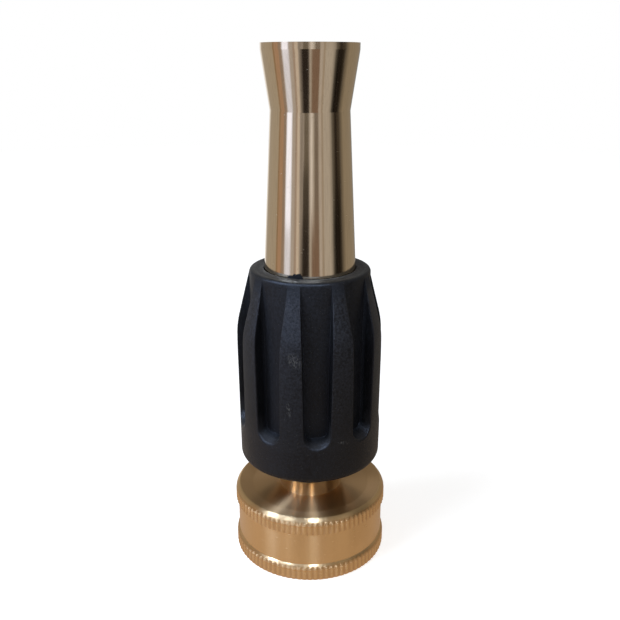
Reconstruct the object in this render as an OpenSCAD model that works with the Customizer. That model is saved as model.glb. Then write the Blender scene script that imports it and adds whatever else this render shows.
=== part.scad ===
// Twist nozzle for a garden hose.
//
// A one-piece brass stem carries the knurled hose coupling, a smooth neck, a
// coarse male thread, two sealing rings and a conical plug at its front end.
// The brass barrel screws along that thread. Screwed right back, its throat
// sits on the plug and shuts the water off; each turn forward opens the gap.
//
// Frame: millimetres, Z along the water's way, z = 0 at the inlet face.
// The barrel is drawn shut.

/* [Lengths] */
// Inlet face to outlet lip, with the barrel shut
overall_len = 104; // [103:0.5:106]
// Height of the hose coupling
coupling_h = 14.4; // [14:0.1:15]
// Height of the grip sleeve's lower end above the inlet face
grip_z = 21.6; // [21.4:0.1:22.2]
// Length of the grip sleeve
grip_len = 40.6; // [39:0.2:42]

/* [Diameters] */
// Coupling, over the knurl's crests
coupling_d = 32.2; // [31.6:0.1:34]
// Stem's neck, between the coupling and the barrel
neck_d = 13; // [12.6:0.1:13.6]
// Barrel where it leaves the grip sleeve
barrel_d = 18.1; // [18:0.05:18.6]
// Barrel at its waist, under the outlet flare
waist_d = 15.04; // [14.8:0.1:16]
// Outlet lip
lip_d = 18.24; // [17.6:0.1:18.8]
// Grip sleeve over its ribs
grip_d = 29.7; // [28.8:0.1:30.4]
// Outlet throat, where the water leaves
throat_d = 8; // [7.6:0.1:8.2]

/* [Grip and knurl] */
// Flutes round the grip sleeve
flutes = 9; // [6:1:9]
// Direction of the first flute, in degrees from +X
flute_phase = -84.4; // [-90:0.2:-50]
// Width of a flute at its mouth
flute_w = 5.8; // [5.4:0.1:6.4]
// Teeth in each knurled band
knurl_teeth = 88; // [60:1:96]

/* [Motion] */
// Lead of the screw between stem and barrel
lead = 2; // [2:0.5:2]
// Turns from shut to fully open
turns = 3; // [1:0.5:3]

/* [Hidden] */
$fn = 96;
eps = 0.01;
arc_steps = 6;

brass = "#b98d58";
rubber = "#26272b";
nylon = "#1b1a19";

// Garden hose thread, 3/4-11.5 NH, as cut inside a coupling
ght_pitch = 25.4 / 11.5;
ght_minor_r = 12.19;
ght_major_r = 13.62;
ght_crest = 0.55;
mouth_chamfer = 1.0;
ght_start = 1.6;
ght_grooves = 3;

// Coupling: two knurled bands with a plain band between them
coupling_r = coupling_d / 2;
knurl_depth = 0.34;
knurl_low_h = 3.9;
knurl_high_h = 3.6;
plain_r = coupling_r - 0.5;
bevel_in = 0.6;
bevel_h = 1.3;
foot_bevel = 0.3;
rim_r = coupling_r - bevel_in;
dish_rim_r = 12.5;
dish_floor_z = coupling_h - 0.45;
neck_r = neck_d / 2;
neck_fillet = 1.5;

// Socket for the hose and its washer
seat_z = 11.4;
washer_h = 3.0;
washer_r = 13.4;
washer_hole_r = 8.0;
inlet_r = 4.0;
inlet_cone_h = 2.6;
inlet_cone_r = 6.4;

// Stem, from the neck forward
travel = lead * turns;
neck_top_z = 17.3;
shaft_r = 6.0;
ring_top_z = 21.4;
male_z = ring_top_z + travel + 0.6;
male_len = 10;
male_r = 7.0;
male_root_r = 6.1;
male_crest = 0.7;
bore_r = 6.0;
running_gap = 0.07;
land_r = bore_r - running_gap;
land_end_z = 54.5;
tube_r = 4.2;
water_r = 3.0;
water_step_z = seat_z + 16;
water_end_z = 79.2;
port_r = 1.6;
port_z = 76.4;
ports = 4;

// Sealing rings: radius of the cord, and where each ring sits
cord_r = 0.9;
seal_gap = 0.03;
gland_gap = 0.02;
gland_side = 0.1;
rear_ring_z = 48.0;
front_ring_z = 51.6;
ring_r = bore_r - seal_gap - cord_r;
small_cord_r = 0.8;

// Throat of the barrel and the plug that shuts it
throat_r = throat_d / 2;
throat_z = 90;
throat_h = 1.5;
cone_z = 85;
cone_slope = (bore_r - throat_r) / (throat_z - cone_z);
cone_norm = sqrt(1 + cone_slope * cone_slope);
plug_gap = 0.25;
plug_r = 5.2;
plug_z = 83;
plug_neck_z = 80.5;
nose_r = throat_r - plug_gap - 0.05;
nose_z = 92.6;
nose_end_z = 94.6;
nose_end_r = 1.6;
shutoff_z = 86.6;
shutoff_r = seat_r(shutoff_z) - (small_cord_r + seal_gap) * cone_norm;

// Retaining ring: a split nylon bush that snaps into the barrel's mouth
ring_z = 17.5;
ring_lip_r = 7.35;
ring_r_in = shaft_r + 0.06;
ring_body_r = 7.7;
ring_bead_r = 8.2;
ring_bead_h = 1.4;
ring_split = 1.0;
ring_fit = 0.05;

// Barrel
barrel_z = 19.4;
flange_r = 9.8;
flange_bevel = 0.4;
barrel_r = barrel_d / 2;
waist_r = waist_d / 2;
waist_z = overall_len - 11.8;
lip_r = lip_d / 2;
lip_h = 1.2;
lip_wall = 1.3;
lip_round = 0.25;
female_r = male_r + ring_fit;
female_root_r = 7.7;
female_end_z = male_z + male_len + 0.6;

// Grip sleeve
grip_r = grip_d / 2;
grip_top_z = grip_z + grip_len;
grip_top_r = 12.05;
grip_low_r = grip_r - 0.25;
grip_bore_r = barrel_r + 0.02;
grip_mouth_r = barrel_r + 0.4;
grip_mouth_h = 4.2;
grip_round_low = 1.3;
grip_round_top = 0.7;
taper_h = 11.7;
crown_h = 4.5;
flute_floor_r = grip_top_r + 0.1;
flute_draft = 0.11;
flute_end_z = grip_z + 10.4;

// Radius of the barrel's inside cone at a height
function seat_r(z) = bore_r - cone_slope * (z - cone_z);

// Points of a round stretch in a section, from angle a to angle b
function arc(r, z, radius, a, b) =
    [for (i = [0 : arc_steps])
        let (t = a + (b - a) * i / arc_steps)
        [r + radius * cos(t), z + radius * sin(t)]];

// One thread groove as a ring: its mouth is at radius mouth, its floor at root
module thread_groove(z, pitch, crest, mouth, root) {
    floor_w = pitch - crest - 2 * abs(root - mouth) * tan(30);
    side = (mouth < root) ? -eps : eps;
    translate([0, 0, z])
        rotate_extrude()
            polygon([[mouth + side, -(pitch - crest) / 2], [root, -floor_w / 2],
                     [root, floor_w / 2], [mouth + side, (pitch - crest) / 2]]);
}

// A gland for a sealing ring, cut into a shaft of radius shaft
module gland(z, r, cord, shaft) {
    floor_r = r - cord - gland_gap;
    half = cord + gland_side;
    translate([0, 0, z - half])
        difference() {
            cylinder(r = shaft + 1, h = 2 * half);
            translate([0, 0, -1]) cylinder(r = floor_r, h = 2 * half + 2);
        }
}

module o_ring(z, r, cord) {
    translate([0, 0, z])
        rotate_extrude()
            translate([r, 0]) circle(r = cord, $fn = 32);
}

// A band of straight knurling, bevelled at its upper edge
module knurled_band(z, h, lower_bevel) {
    step = 360 / knurl_teeth;
    root_r = coupling_r - knurl_depth;
    tooth = [[0, coupling_r], [0.3, coupling_r], [0.6, root_r], [0.7, root_r]];
    section = [for (i = [0 : knurl_teeth - 1], k = tooth)
        k[1] * [cos((i + k[0]) * step), sin((i + k[0]) * step)]];
    top_in = coupling_r - bevel_in;
    translate([0, 0, z])
        intersection() {
            linear_extrude(h) polygon(section);
            rotate_extrude()
                polygon([[0, 0], [coupling_r - lower_bevel, 0], [coupling_r, lower_bevel],
                         [coupling_r, h - bevel_h], [coupling_r - bevel_in * 0.3, h - bevel_h * 0.45],
                         [top_in, h], [0, h]]);
        }
}

module coupling_outside() {
    knurled_band(0, knurl_low_h, foot_bevel);
    cylinder(r = plain_r, h = coupling_h - bevel_h);
    knurled_band(coupling_h - knurl_high_h, knurl_high_h, foot_bevel / 2);
}

// The dished face between the coupling's rim and the neck
module coupling_dish() {
    rotate_extrude()
        polygon(concat(
            [[rim_r, coupling_h], [dish_rim_r, dish_floor_z]],
            arc(neck_r + neck_fillet, dish_floor_z + neck_fillet, neck_fillet, 270, 180),
            [[neck_r, coupling_h + 5], [rim_r, coupling_h + 5]]));
}

module hose_socket() {
    translate([0, 0, -eps]) cylinder(r = ght_minor_r, h = seat_z - washer_h + 2 * eps);
    translate([0, 0, -eps])
        cylinder(r1 = ght_minor_r + mouth_chamfer + eps, r2 = ght_minor_r, h = mouth_chamfer + eps);
    for (i = [0 : ght_grooves - 1])
        thread_groove(ght_start + (i + 0.5) * ght_pitch, ght_pitch, ght_crest, ght_minor_r, ght_major_r);
    translate([0, 0, seat_z - washer_h - 0.1]) cylinder(r = ght_major_r, h = washer_h + 0.1);
    translate([0, 0, seat_z - eps]) cylinder(r1 = inlet_cone_r, r2 = inlet_r, h = inlet_cone_h);
}

module waterway() {
    translate([0, 0, seat_z]) cylinder(r = inlet_r, h = water_step_z - seat_z);
    translate([0, 0, water_step_z - eps]) cylinder(r1 = inlet_r, r2 = water_r, h = 1);
    translate([0, 0, water_step_z]) cylinder(r = water_r, h = water_end_z - water_step_z);
    translate([0, 0, water_end_z - eps]) cylinder(r1 = water_r, r2 = 0, h = 1.2);
    for (i = [0 : ports - 1])
        rotate([0, 0, i * 360 / ports])
            translate([0, 0, port_z])
                rotate([0, 90, 0]) cylinder(r = port_r, h = plug_r + 2);
}

// Turned outline of the stem above the coupling's face
module stem_shaft() {
    rotate_extrude()
        polygon(concat(
            [[0, seat_z], [neck_r + neck_fillet, seat_z]],
            arc(neck_r + neck_fillet, dish_floor_z + neck_fillet, neck_fillet, 270, 180),
            [[neck_r, neck_top_z - 0.4], [shaft_r, neck_top_z],
             [shaft_r, male_z], [male_r - 0.5, male_z],
             [male_r, male_z + 0.5], [male_r, male_z + male_len - 0.6],
             [land_r, male_z + male_len], [land_r, land_end_z],
             [tube_r, land_end_z + 2], [tube_r, plug_neck_z], [plug_r, plug_z],
             [plug_r, cone_z + (bore_r - plug_gap * cone_norm - plug_r) / cone_slope],
             [nose_r, cone_z + (bore_r - plug_gap * cone_norm - nose_r) / cone_slope],
             [nose_r, nose_z], [nose_end_r, nose_end_z], [0, nose_end_z]]));
}

module stem() {
    color(brass)
        difference() {
            union() {
                difference() {
                    coupling_outside();
                    coupling_dish();
                }
                stem_shaft();
            }
            hose_socket();
            waterway();
            for (i = [0 : round(male_len / lead) - 2])
                thread_groove(male_z + 1.2 + (i + 0.5) * lead, lead, male_crest, male_r, male_root_r);
            gland(rear_ring_z, ring_r, cord_r, land_r);
            gland(front_ring_z, ring_r, cord_r, land_r);
            gland(shutoff_z, shutoff_r, small_cord_r, plug_r);
        }
}

module hose_washer() {
    color(rubber)
        rotate_extrude()
            polygon(concat(
                [[washer_hole_r, seat_z - washer_h + 0.05]],
                arc(washer_r - 0.5, seat_z - washer_h + 0.55, 0.5, 270, 360),
                arc(washer_r - 0.5, seat_z - 0.52, 0.5, 0, 90),
                [[washer_hole_r, seat_z - 0.02]]));
}

module rear_o_ring() { color(rubber) o_ring(rear_ring_z, ring_r, cord_r); }

module front_o_ring() { color(rubber) o_ring(front_ring_z, ring_r, cord_r); }

module shutoff_o_ring() { color(rubber) o_ring(shutoff_z, shutoff_r, small_cord_r); }

module retaining_ring() {
    bead_z = ring_top_z - ring_bead_h;
    color(nylon)
        difference() {
            rotate_extrude()
                polygon([
                    [ring_r_in, ring_z + 0.3], [ring_r_in + 0.25, ring_z], [ring_lip_r, ring_z],
                    [ring_lip_r, ring_z + 0.8], [ring_body_r, barrel_z], [ring_body_r, bead_z],
                    [ring_bead_r, bead_z + 0.2], [ring_bead_r, ring_top_z - 0.5],
                    [ring_body_r, ring_top_z], [ring_r_in, ring_top_z]]);
            translate([0, -ring_split / 2, ring_z - 1])
                cube([ring_bead_r + 1, ring_split, ring_top_z - ring_z + 2]);
        }
}

// Inside of the barrel: mouth, ring groove, female thread, bore, throat, bell
module barrel_inside() {
    groove_z = ring_top_z - ring_bead_h - ring_fit;
    groove_r = ring_bead_r + ring_fit;
    translate([0, 0, barrel_z - 1]) cylinder(r = ring_body_r + ring_fit, h = groove_z - barrel_z + 1 + eps);
    translate([0, 0, groove_z]) cylinder(r = groove_r, h = ring_top_z + ring_fit - groove_z);
    translate([0, 0, ring_top_z]) cylinder(r = female_r, h = female_end_z - ring_top_z);
    for (i = [0 : floor((female_end_z - ring_top_z - 1) / lead) - 1])
        thread_groove(ring_top_z + 1 + (i + 0.5) * lead, lead, male_crest, female_r, female_root_r);
    translate([0, 0, female_end_z - eps]) cylinder(r1 = female_r, r2 = bore_r, h = 1);
    translate([0, 0, female_end_z]) cylinder(r = bore_r, h = cone_z - female_end_z + eps);
    translate([0, 0, cone_z]) cylinder(r1 = bore_r, r2 = throat_r, h = throat_z - cone_z);
    translate([0, 0, throat_z - eps]) cylinder(r = throat_r, h = throat_h + 2 * eps);
    translate([0, 0, throat_z + throat_h])
        cylinder(r1 = throat_r, r2 = lip_r - lip_wall, h = overall_len - throat_z - throat_h + eps);
}

module barrel_outside() {
    rotate_extrude()
        polygon(concat(
            [[0, barrel_z], [flange_r - flange_bevel, barrel_z], [flange_r, barrel_z + flange_bevel],
             [flange_r, grip_z - 0.02], [barrel_r, grip_z - 0.02], [barrel_r, grip_top_z],
             [waist_r, waist_z], [lip_r, overall_len - lip_h]],
            arc(lip_r - lip_round, overall_len - lip_round, lip_round, 0, 90),
            [[0, overall_len]]));
}

module barrel() {
    color(brass)
        difference() {
            barrel_outside();
            barrel_inside();
        }
}

// Turned outline of the grip sleeve before its flutes are cut
module grip_outside() {
    rotate_extrude()
        polygon(concat(
            [[grip_bore_r, grip_z]],
            arc(grip_low_r - grip_round_low, grip_z + grip_round_low, grip_round_low, 270, 360),
            [[grip_r, grip_top_z - taper_h - crown_h], [grip_r - 0.05, grip_top_z - taper_h]],
            arc(grip_top_r - grip_round_top, grip_top_z - grip_round_top, grip_round_top, 13, 90),
            [[grip_mouth_r, grip_top_z], [grip_mouth_r, grip_top_z - grip_mouth_h],
             [grip_bore_r, grip_top_z - grip_mouth_h - 0.5]]));
}

// A flute's shape before its floor is left: drafted walls, a round lower end, open at the top
module flute_cutter() {
    inner = flute_floor_r - 1;
    outer = grip_r + 1;
    narrow = flute_w / 2 - flute_draft * (grip_r - inner);
    wide = flute_w / 2 + flute_draft * (outer - grip_r);
    translate([inner, 0, flute_end_z]) {
        linear_extrude(grip_top_z - flute_end_z + 1)
            polygon([[0, -narrow], [outer - inner, -wide], [outer - inner, wide], [0, narrow]]);
        rotate([0, 90, 0]) cylinder(r1 = narrow, r2 = wide, h = outer - inner);
    }
}

// All flutes: their common floor is a cylinder, which meets the sleeve's taper at its top
module flute_cutters() {
    difference() {
        for (i = [0 : flutes - 1])
            rotate([0, 0, flute_phase + i * 360 / flutes]) flute_cutter();
        cylinder(r = flute_floor_r, h = grip_top_z + 2);
    }
}

module grip_sleeve() {
    color(rubber)
        difference() {
            grip_outside();
            flute_cutters();
        }
}

stem();
hose_washer();
rear_o_ring();
front_o_ring();
shutoff_o_ring();
retaining_ring();
barrel();
grip_sleeve();
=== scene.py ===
import cmath
import math

import bmesh
import bpy
import numpy as np
from mathutils import Matrix, Vector


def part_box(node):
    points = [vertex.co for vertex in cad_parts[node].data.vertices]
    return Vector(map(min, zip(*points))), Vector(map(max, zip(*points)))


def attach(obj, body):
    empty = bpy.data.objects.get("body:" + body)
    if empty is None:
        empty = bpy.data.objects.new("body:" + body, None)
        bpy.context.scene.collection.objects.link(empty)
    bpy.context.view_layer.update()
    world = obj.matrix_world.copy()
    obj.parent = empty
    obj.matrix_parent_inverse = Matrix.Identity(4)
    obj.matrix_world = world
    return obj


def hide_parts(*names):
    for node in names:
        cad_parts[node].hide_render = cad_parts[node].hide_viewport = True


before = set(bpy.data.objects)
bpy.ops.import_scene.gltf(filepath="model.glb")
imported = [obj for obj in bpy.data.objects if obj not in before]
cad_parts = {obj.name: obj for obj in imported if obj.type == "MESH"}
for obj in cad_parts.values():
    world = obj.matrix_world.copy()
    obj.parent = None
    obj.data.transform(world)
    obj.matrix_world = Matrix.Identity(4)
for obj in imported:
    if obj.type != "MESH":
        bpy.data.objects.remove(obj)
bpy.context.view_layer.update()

# Shapes are in millimetres, in the CAD frame: Z up, z = 0 at the inlet face.
MM = 0.001
TURN = 2 * math.pi


def reach(node):
    """Largest radius, lowest z and highest z of a CAD node, in millimetres."""
    low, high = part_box(node)
    return max(high.x, high.y, -low.x, -low.y) / MM, low.z / MM, high.z / MM


COUPLING_R, INLET_Z, NOSE_END_Z = reach("stem")
FLANGE_R, BARREL_Z, LIP_Z = reach("barrel")
GRIP_R, GRIP_Z, GRIP_TOP_Z = reach("grip_sleeve")
WASHER_R, WASHER_Z, WASHER_TOP_Z = reach("hose_washer")
RING_R, RING_Z, RING_TOP_Z = reach("retaining_ring")

# Mesh: columns of faces round each piece, the angle from which an edge is sharp, and how far from an
# arc its supporting rings lie
KNURL_TEETH = 88
KNURL_COLUMNS = 8 * KNURL_TEETH
STEM_COLUMNS = 2 * KNURL_TEETH
BARREL_COLUMNS = 144
SHARP = math.radians(40)
SUPPORT = 0.08

# Coupling
COUPLING_H = 14.4
KNURL_DEPTH = 0.2
KNURL_LOW_H = 3.9
KNURL_HIGH_H = 3.6
PLAIN_R = COUPLING_R - 0.5
FOOT_BEVEL = 0.3
HIGH_BROW_R = 2.0
LOW_BROW_R = 1.5
LOW_BROW_DROP = 0.35
BROW_IN = 0.8
RIM_R = COUPLING_R - BROW_IN
DISH_EDGE_R = 12.5
DISH_Z = COUPLING_H - 0.45
NECK_R = 6.5
NECK_FILLET = 0.12
NECK_TOP_Z = 17.3

# Hose socket and waterway
HOSE_PITCH = 25.4 / 11.5
HOSE_MAJOR_R = 13.62
HOSE_RIDGE = 1.43
HOSE_TURNS = 2
HOSE_THREAD_Z = 1.0
SEAT_Z = 11.4
INLET_CONE_R = 6.4
INLET_CONE_H = 2.6
WATER_IN_R = 4.0
WATER_R = 3.0
WATER_STEP_Z = SEAT_Z + 16
WATER_END_Z = 79.2
PORT_R = 1.6
PORT_Z = 76.4
PORTS = 4

# Stem inside the barrel
SHAFT_R = 6.0
LEAD = 2.0
MALE_Z = RING_TOP_Z + 6.6
MALE_TURNS = 4
MALE_ROOT_R = 6.1
MALE_RIDGE = 0.9
LAND_R = 5.93
LAND_END_Z = 54.5
TUBE_R = 4.2
PLUG_NECK_Z = 80.5
PLUG_Z = 83.0
PLUG_R = 5.2
PLUG_CONE_Z = 86.33
NOSE_R = 3.7
NOSE_CONE_Z = 90.08
NOSE_Z = 92.6
NOSE_END_R = 1.6
GLAND_GAP = 0.02
GLAND_SIDE = 0.1

# Retaining ring
RING_COLUMNS = 96
RING_BODY_R = 7.7
RING_LIP_R = 7.35
RING_BEAD_H = 1.4
RING_SPLIT = 1.0

# Barrel
BARREL_R = 9.05
WAIST_R = 7.51
WAIST_Z = LIP_Z - 11.8
LIP_R = 9.12
LIP_H = 1.2
BELL_R = LIP_R - 1.3
THROAT_R = 4.0
THROAT_Z = 90.0
THROAT_TOP_Z = 91.5
CONE_Z = 85.0
BORE_R = 6.0
MOUTH_R = 7.75
GROOVE_R = RING_R + 0.05
GROOVE_Z = RING_TOP_Z - 1.45
FEMALE_ROOT_R = 7.1
FEMALE_RIDGE = -0.9
FEMALE_Z = MALE_Z - 2.5 * LEAD
FEMALE_TURNS = 6.5
FEMALE_END_Z = MALE_Z + 10.6

# Grip sleeve
GRIP_LOW_R = GRIP_R - 0.25
GRIP_BROW_R = 11.9
GRIP_BORE_R = BARREL_R + 0.02
GRIP_MOUTH_R = BARREL_R + 0.16
GRIP_MOUTH_Z = GRIP_TOP_Z - 4.2
GRIP_ROUND_LOW = 1.3
GRIP_ROUND_TOP = 0.7
CROWN_LOW_Z = GRIP_TOP_Z - 16.2
CROWN_TOP_Z = GRIP_TOP_Z - 11.7
CROWN_ROUND = 18
FLUTES = 9
SECTOR = TURN / FLUTES
FLUTE_PHASE = math.radians(-84.4)
FLUTE_FLOOR_R = 12.05
FLUTE_END_Z = GRIP_Z + 10.3
FLUTE_HALF = 2.95
FLUTE_NARROWING = 0.32
FLUTE_PARALLEL_Z = GRIP_Z + 30.4
FLUTE_SIDE_LEAN = 0.12
FLUTE_END_LEAN = 0.5
FLUTE_FILLET = 0.08
FLUTE_EDGE = 0.28
LEAST_WALL = 0.16
END_STEPS = 32
RIB_STEPS = 5
FLAKE_START = 243
FLAKE_WIDTH = 19
# Scuffs as (centre, radii, lean in degrees)
SCUFFS = [((-2.9, -14.4, 47.8), (1.5, 0.8, 2.0), 35),
          ((6.8, -13.1, 30.0), (2.2, 0.9, 0.4), -18),
          ((-4.1, -14.2, 37.7), (0.4, 0.6, 2.0), 8)]


# ------------------------------------------------------------ mesh tools

def circle(radius, z, columns):
    """Points of a ring. radius is one number, or one for each column."""
    angles = np.arange(columns) * TURN / columns
    radius = np.broadcast_to(radius, columns)
    return np.column_stack([radius * np.cos(angles), radius * np.sin(angles), np.full(columns, z)])


def polar(radius, angle, z):
    """One point from its radius, angle and height."""
    return radius * math.cos(angle), radius * math.sin(angle), z


def rounded(*corners, steps=5):
    """An outline through corners (r, z, rounding), with an arc at each rounded one."""
    places = [complex(r, z) for r, z, _ in corners]
    points = []
    for k, (here, (_, _, radius)) in enumerate(zip(places, corners)):
        if not radius:
            points.append(here)
            continue
        back = (places[k - 1] - here) / abs(places[k - 1] - here)
        ahead = (places[k + 1] - here) / abs(places[k + 1] - here)
        half = abs(cmath.phase(ahead / back)) / 2
        centre = here + (back + ahead) / abs(back + ahead) * radius / math.sin(half)
        start = here + back * radius / math.tan(half)
        end = here + ahead * radius / math.tan(half)
        turn = cmath.phase((end - centre) / (start - centre))
        points.append(start + back * SUPPORT)
        points += [centre + (start - centre) * cmath.exp(1j * turn * i / steps) for i in range(steps + 1)]
        points.append(end + ahead * SUPPORT)
    return [(p.real, p.imag) for p in points]


class Skin:
    """A closed surface, made of rings of points that are each joined to the ring before."""

    def __init__(self):
        self.mesh = bmesh.new()
        self.last = None

    def corners(self, points):
        return [self.mesh.verts.new(Vector(p) * MM) for p in points]

    def ring(self, points):
        """Adds a ring and joins it to the last one. A single point closes the surface."""
        new = self.corners(points)
        if self.last:
            self.join(self.last, new)
        self.last = new
        return new

    def turn(self, outline, columns):
        """Adds a ring for each point (r, z) of an outline."""
        for r, z in outline:
            self.ring(circle(r, z, columns) if r else [(0, 0, z)])
        return self.last

    def turn_at(self, outline, angles):
        """Adds a ring for each point (r, z) of an outline, with its columns at given angles."""
        for r, z in outline:
            self.ring([polar(r, angle, z) for angle in angles])
        return self.last

    def grid(self, rows):
        """Adds faces between rows of points."""
        rows = [self.corners(row) for row in rows]
        for low, high in zip(rows, rows[1:]):
            for k in range(len(low) - 1):
                self.mesh.faces.new((low[k], low[k + 1], high[k + 1], high[k]))

    def join(self, low, high):
        """Faces between two rings, which may have different numbers of points."""
        if len(low) == 1 or len(high) == 1:
            many, tip = (low, high[0]) if len(high) == 1 else (high, low[0])
            self.fan(tip, [*many, many[0]])
        elif len(low) == len(high):
            for i in range(len(low)):
                j = (i + 1) % len(low)
                self.mesh.faces.new((low[i], low[j], high[j], high[i]))
        else:
            self.bridge(low, high)

    def bridge(self, low, high):
        """Triangles between two rings, taking the next corner by angle from one or the other."""
        start = math.atan2(low[0].co.y, low[0].co.x) - 1e-4

        def turned(ring):
            return [(math.atan2(v.co.y, v.co.x) - start) % TURN for v in ring] + [TURN]

        low_angles = turned(low)
        high_angles = turned(high)
        i = j = 0
        while i < len(low) or j < len(high):
            a = low[i % len(low)]
            b = high[j % len(high)]
            if j == len(high) or (i < len(low) and low_angles[i + 1] <= high_angles[j + 1]):
                i += 1
                self.mesh.faces.new((a, low[i % len(low)], b))
            else:
                j += 1
                self.mesh.faces.new((a, high[j % len(high)], b))

    def fan(self, tip, chain):
        for a, b in zip(chain, chain[1:]):
            self.mesh.faces.new((tip, a, b))

    def thread(self, low_z, pitch, turns, radius, ridge, profile, columns, ramp=0.15):
        """A right-hand helical ridge, joined to the last ring and ended with a plain ring.

        ridge is its height outwards, profile its points (share of the pitch, share of the height),
        and ramp the share of a turn in which it rises from the surface at each end.
        """
        below = self.last
        steps = round(turns * columns)
        rows = []
        for i in range(steps + 1):
            rise = min(1, i / (ramp * columns), (steps - i) / (ramp * columns))
            start_z = low_z + pitch * i / columns
            rows.append(self.corners(
                polar(radius + ridge * rise * share, TURN * i / columns, start_z + pitch * place)
                for place, share in profile))
        for i, row in enumerate(rows):
            if i + columns <= steps:
                row.append(rows[i + columns][0])
            else:
                row += self.corners([polar(radius, TURN * i / columns, low_z + pitch * (i / columns + 1))])
        for row, after in zip(rows, rows[1:]):
            for k in range(len(profile)):
                self.mesh.faces.new((row[k], after[k], after[k + 1], row[k + 1]))
        for i in range(columns - 1):
            self.mesh.faces.new((below[i], below[i + 1], rows[i + 1][0], rows[i][0]))
        self.fan(rows[columns - 1][0], [below[-1], below[0], *rows[0]])
        above = self.corners(circle(radius, low_z + pitch * (turns + 1) + SUPPORT, columns))
        first = steps - columns
        for i in range(first + 1, steps):
            self.mesh.faces.new((rows[i][-1], rows[i + 1][-1],
                                 above[(i + 1) % columns], above[i % columns]))
        self.fan(rows[first + 1][-1],
                 [above[(first + 1) % columns], above[first % columns], *reversed(rows[steps])])
        self.last = above

    def finish(self, name):
        """The object, with its normals outwards."""
        mesh = self.mesh
        bmesh.ops.remove_doubles(mesh, verts=mesh.verts, dist=0.002 * MM)
        bmesh.ops.recalc_face_normals(mesh, faces=mesh.faces)
        if mesh.calc_volume(signed=True) < 0:
            bmesh.ops.reverse_faces(mesh, faces=mesh.faces)
        data = bpy.data.meshes.new(name)
        mesh.to_mesh(data)
        mesh.free()
        made = bpy.data.objects.new(name, data)
        bpy.context.scene.collection.objects.link(made)
        return made


def smooth(piece):
    """Shades a piece smooth, apart from its sharp edges."""
    mesh = bmesh.new()
    mesh.from_mesh(piece.data)
    for face in mesh.faces:
        face.smooth = True
    for edge in mesh.edges:
        edge.smooth = edge.is_manifold and edge.calc_face_angle() < SHARP
    mesh.to_mesh(piece.data)
    mesh.free()


def ridge_profile(foot, crest, soft):
    """A thread ridge over one pitch.

    The widths of its foot and crest, and of soft, the cut at its corners, are shares of the pitch.
    """
    corners = [(1 - foot) / 2, (1 - crest) / 2, (1 + crest) / 2, (1 + foot) / 2]
    places = [0.0] + [place + side for place in corners for side in ((-soft, soft) if soft else (0,))]
    return [(place, float(np.interp(place, corners, [0, 1, 1, 0]))) for place in places]


# ------------------------------------------------------------ stem

def brow(top_z, depth, radius):
    """Outline of a knurled band's round upper edge, from its side up to top_z, depth further in."""
    end = math.acos(1 - depth / radius)
    arc = [(COUPLING_R - radius * (1 - math.cos(tilt)), top_z - radius * (math.sin(end) - math.sin(tilt)))
           for tilt in np.linspace(0, end, 14)]
    return [(COUPLING_R, arc[0][1] - SUPPORT)] + arc


def coupling_outline():
    """Outline of the coupling's side from the inlet face up to its rim, before the knurl is cut."""
    high_z = COUPLING_H - KNURL_HIGH_H
    foot = [(COUPLING_R - FOOT_BEVEL, INLET_Z),
            (COUPLING_R - 0.3 * FOOT_BEVEL, INLET_Z + 0.3 * FOOT_BEVEL),
            (COUPLING_R, INLET_Z + FOOT_BEVEL), (COUPLING_R, INLET_Z + KNURL_LOW_H / 3)]
    band = [(PLAIN_R, KNURL_LOW_H), (PLAIN_R, high_z - SUPPORT), (PLAIN_R, high_z),
            (COUPLING_R - FOOT_BEVEL / 2, high_z), (COUPLING_R, high_z + FOOT_BEVEL / 2),
            (COUPLING_R, high_z + KNURL_HIGH_H / 3)]
    low_brow = brow(KNURL_LOW_H - LOW_BROW_DROP, COUPLING_R - PLAIN_R, LOW_BROW_R)
    high_brow = brow(COUPLING_H, BROW_IN, HIGH_BROW_R)
    return foot + low_brow + band + high_brow + [(RIM_R - SUPPORT, COUPLING_H)]


def gland(node):
    """Floor radius, lowest z and highest z of the gland that holds a sealing ring."""
    outer, low, high = reach(node)
    return outer - (high - low) - GLAND_GAP, low - GLAND_SIDE, high + GLAND_SIDE


def groove(node, low_r, high_r):
    """Outline of a gland cut into a shaft that has radius low_r below it and high_r above."""
    floor, low, high = gland(node)
    return [(low_r, low), (floor, low), (floor, high), (high_r, high)]


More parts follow.
